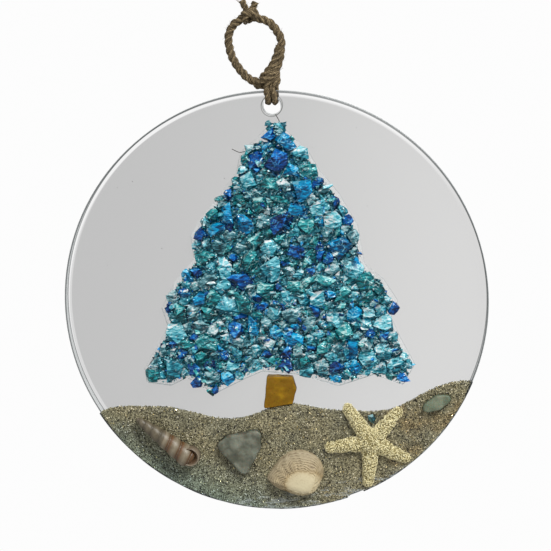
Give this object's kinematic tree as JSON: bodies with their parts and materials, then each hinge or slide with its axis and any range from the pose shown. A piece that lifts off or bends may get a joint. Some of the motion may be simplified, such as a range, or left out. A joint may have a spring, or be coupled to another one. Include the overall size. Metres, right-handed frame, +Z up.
{
  "type": "hanging disc ornament",
  "caption": "Clear round disc that hangs from a jute twine loop, with a crushed-glass tree standing on a bed of sand, small shells, sea glass and a starfish.",
  "frame": {"origin": "the inside of the hanging loop's top, where a hook bears", "axes": "+X right seen from the front, +Z up towards the hanging loop, +Y out of the back face; the decorated front looks along -Y"},
  "size_m": [0.1016, 0.0114, 0.1231],
  "materials": {
    "acrylic": "clear, polished faces, with fine scratches and a few specks",
    "resin": "clear, glossy, slightly lumpy",
    "cobalt_glass": "crushed glass, sharp glossy facets",
    "azure_glass": "crushed glass, sharp glossy facets",
    "teal_glass": "crushed glass, sharp glossy facets",
    "aqua_glass": "crushed glass, sharp glossy facets",
    "clear_glass": "crushed glass, sharp glossy facets",
    "amber_sea_glass": "tumbled, satin, with small dark pits",
    "frosted_glass": "tumbled, frosted",
    "sand": "loose grains with gold glitter, set in resin",
    "auger": "satin shell, grey-tan with orange-brown spiral bands",
    "clam": "matte shell with growth lines and a worn, smooth beak",
    "starfish": "dry and granular",
    "jute": "three-ply twist, fuzzy"
  },
  "bodies": {
    "hanger": {"twine_loop": "jute", "loop_knot": "jute", "twine_tails": "jute"},
    "knot": {"hitch_knot": "jute"},
    "ornament": {"clear_disc": "acrylic", "tree_resin": "resin", "sand_film": "resin", "cobalt_chips": "cobalt_glass", "cobalt_grit": "cobalt_glass", "azure_chips": "azure_glass", "teal_chips": "teal_glass", "aqua_chips": "aqua_glass", "clear_chips": "clear_glass", "clear_grit": "clear_glass", "trunk_glass": "amber_sea_glass", "sand_bed": "sand", "auger_shell": "auger", "clam_shell": "clam", "starfish": "starfish", "frosted_glass_left": "frosted_glass", "frosted_glass_right": "frosted_glass", "teal_crumb": "teal_glass", "hitch_turn": "jute"}
  },
  "joints": [
    {"name": "fold", "type": "hinge", "parent": "hanger", "child": "knot", "pos_m": [0.0049, 0, -0.013], "axis": [1, 0, 0], "range_deg": [-90, 90]},
    {"name": "twist", "type": "hinge", "parent": "knot", "child": "ornament", "pos_m": [0.0049, 0, -0.013], "axis": [0, 0, 1], "range_deg": [-90, 90]}
  ]
}
